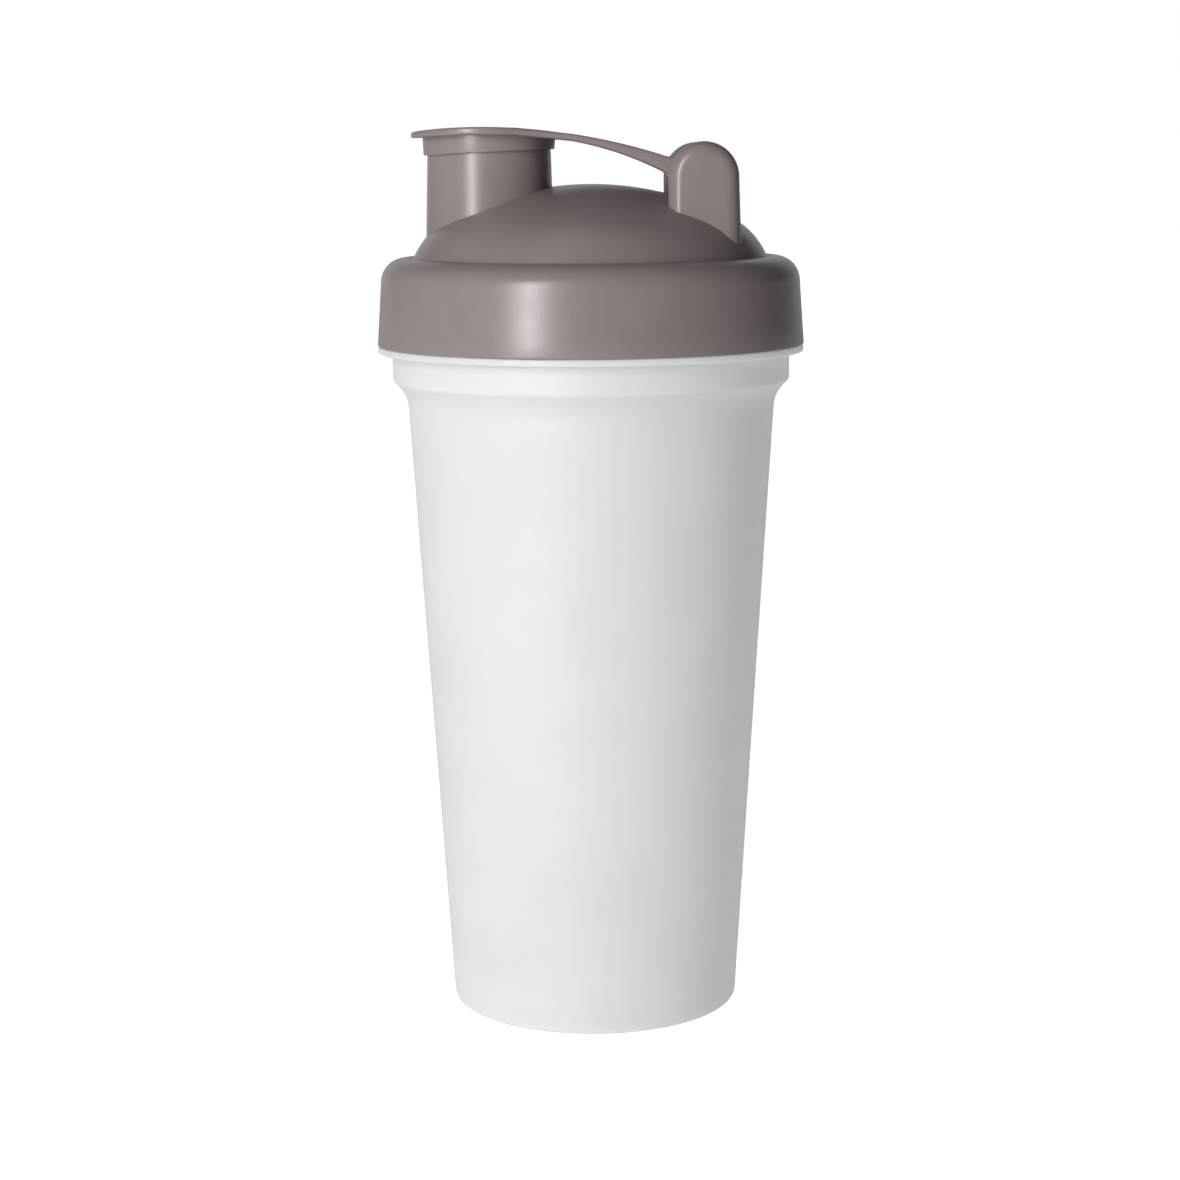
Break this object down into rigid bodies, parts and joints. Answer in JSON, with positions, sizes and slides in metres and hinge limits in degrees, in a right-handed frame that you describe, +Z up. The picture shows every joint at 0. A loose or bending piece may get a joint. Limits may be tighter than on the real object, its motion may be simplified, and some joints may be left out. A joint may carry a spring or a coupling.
{
  "type": "shaker bottle",
  "caption": "Tapered frosted cup with a domed screw lid, an offset drinking spout and a hinged flip cap, a seal ring and a mixing screen in the mouth.",
  "frame": {"origin": "centre of the foot ring, on the surface the bottle stands on", "axes": "+Z up along the bottle's axis, -X towards the drinking spout, +X towards the hinge of the flip cap"},
  "size_m": [0.1002, 0.1002, 0.209],
  "materials": {
    "frosted_cup": "frosted translucent polypropylene",
    "lid_plastic": "satin moulded polypropylene, taupe",
    "seal_rubber": "matt silicone rubber"
  },
  "bodies": {
    "cup": {"cup": "frosted_cup"},
    "screen": {"mixing_screen": "lid_plastic"},
    "seal": {"lid_gasket": "seal_rubber"},
    "lid": {"lid": "lid_plastic"},
    "cap": {"flip_cap": "lid_plastic"}
  },
  "joints": [
    {"name": "screen_lift_out", "type": "slide", "parent": "cup", "child": "screen", "axis": [0, 0, 1], "range_m": [0, 0.09]},
    {"name": "lid_rise", "type": "slide", "parent": "screen", "child": "seal", "axis": [0, 0, 1], "range_m": [0, 0.0046]},
    {"name": "lid_twist", "type": "hinge", "parent": "seal", "child": "lid", "pos_m": [0, 0, 0.166], "axis": [0, 0, 1], "range_deg": [0, 330]},
    {"name": "cap_open", "type": "hinge", "parent": "lid", "child": "cap", "pos_m": [0.02585, 0, 0.19745], "axis": [0, 1, 0], "range_deg": [0, 200]}
  ],
  "couplings": [
    {"joint": "lid_rise", "follows": "lid_twist", "m_per_rad": 0.00079577}
  ]
}
